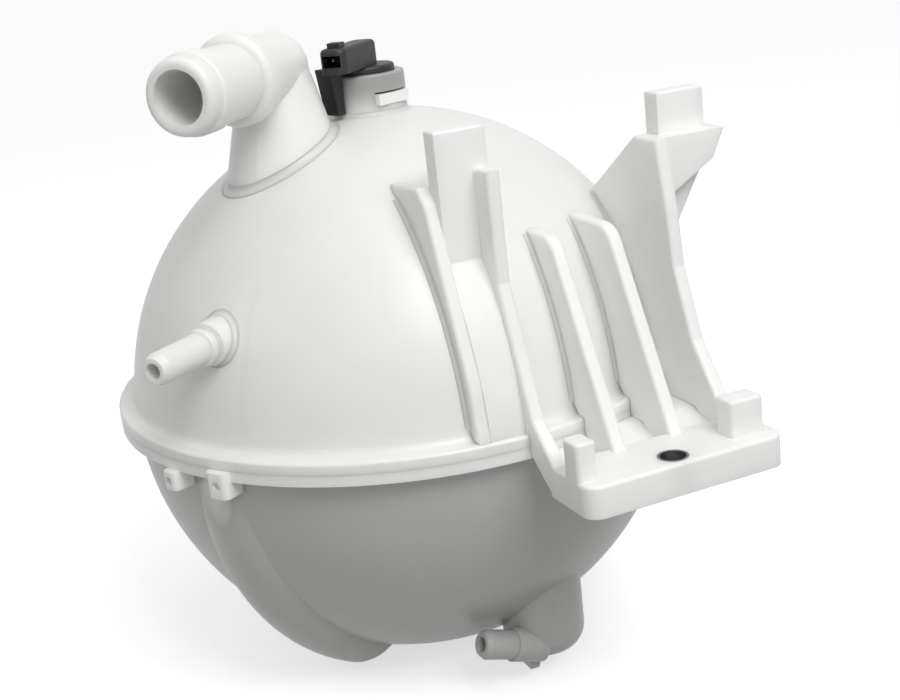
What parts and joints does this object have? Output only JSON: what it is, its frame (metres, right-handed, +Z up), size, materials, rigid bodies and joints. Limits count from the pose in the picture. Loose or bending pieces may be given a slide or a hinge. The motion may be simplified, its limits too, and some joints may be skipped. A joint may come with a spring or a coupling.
{
  "type": "coolant overflow bottle",
  "caption": "Ball-shaped plastic coolant overflow bottle with a weld flange, gooseneck hose neck, vent nipple, ribbed bolt bracket and plug-in level sensor.",
  "frame": {"origin": "axis of the bracket's bolt hole, at the top face of the bolt shelf", "axes": "+Z up along the bolt hole, +X from the tank out through the bolt shelf, +Y along the shelf"},
  "size_m": [0.2354, 0.2026, 0.2239],
  "materials": {
    "natural_plastic": "satin, slightly translucent natural plastic",
    "black_plastic": "satin black plastic",
    "white_clip": "satin white plastic",
    "zinc_steel": "zinc plated",
    "seal_rubber": "matt",
    "tinned_brass": "tin plated",
    "foam_float": "closed-cell foam",
    "ferrite": "matt ferrite",
    "glass_tube": "clear",
    "potting_resin": "resin"
  },
  "bodies": {
    "bottle": {"upper_shell": "natural_plastic", "lower_shell": "natural_plastic", "filler_neck": "natural_plastic", "mounting_bracket": "natural_plastic", "bolt_sleeve": "zinc_steel", "sensor_head": "black_plastic", "sensor_terminals": "tinned_brass", "sensor_o_ring": "seal_rubber", "sensor_stem": "black_plastic", "stem_end_plug": "black_plastic", "stem_potting": "potting_resin", "reed_switch": "glass_tube", "reed_leads": "tinned_brass", "float_stops": "zinc_steel"},
    "clip": {"sensor_clip": "white_clip"},
    "float": {"level_float": "foam_float", "float_magnet": "ferrite"}
  },
  "joints": [
    {"name": "clip_slide", "type": "slide", "parent": "bottle", "child": "clip", "axis": [0.9397, 0.342, 0], "range_m": [0, 0.027]},
    {"name": "float_slide", "type": "slide", "parent": "bottle", "child": "float", "axis": [0, 0, 1], "range_m": [0, 0.0286]}
  ]
}
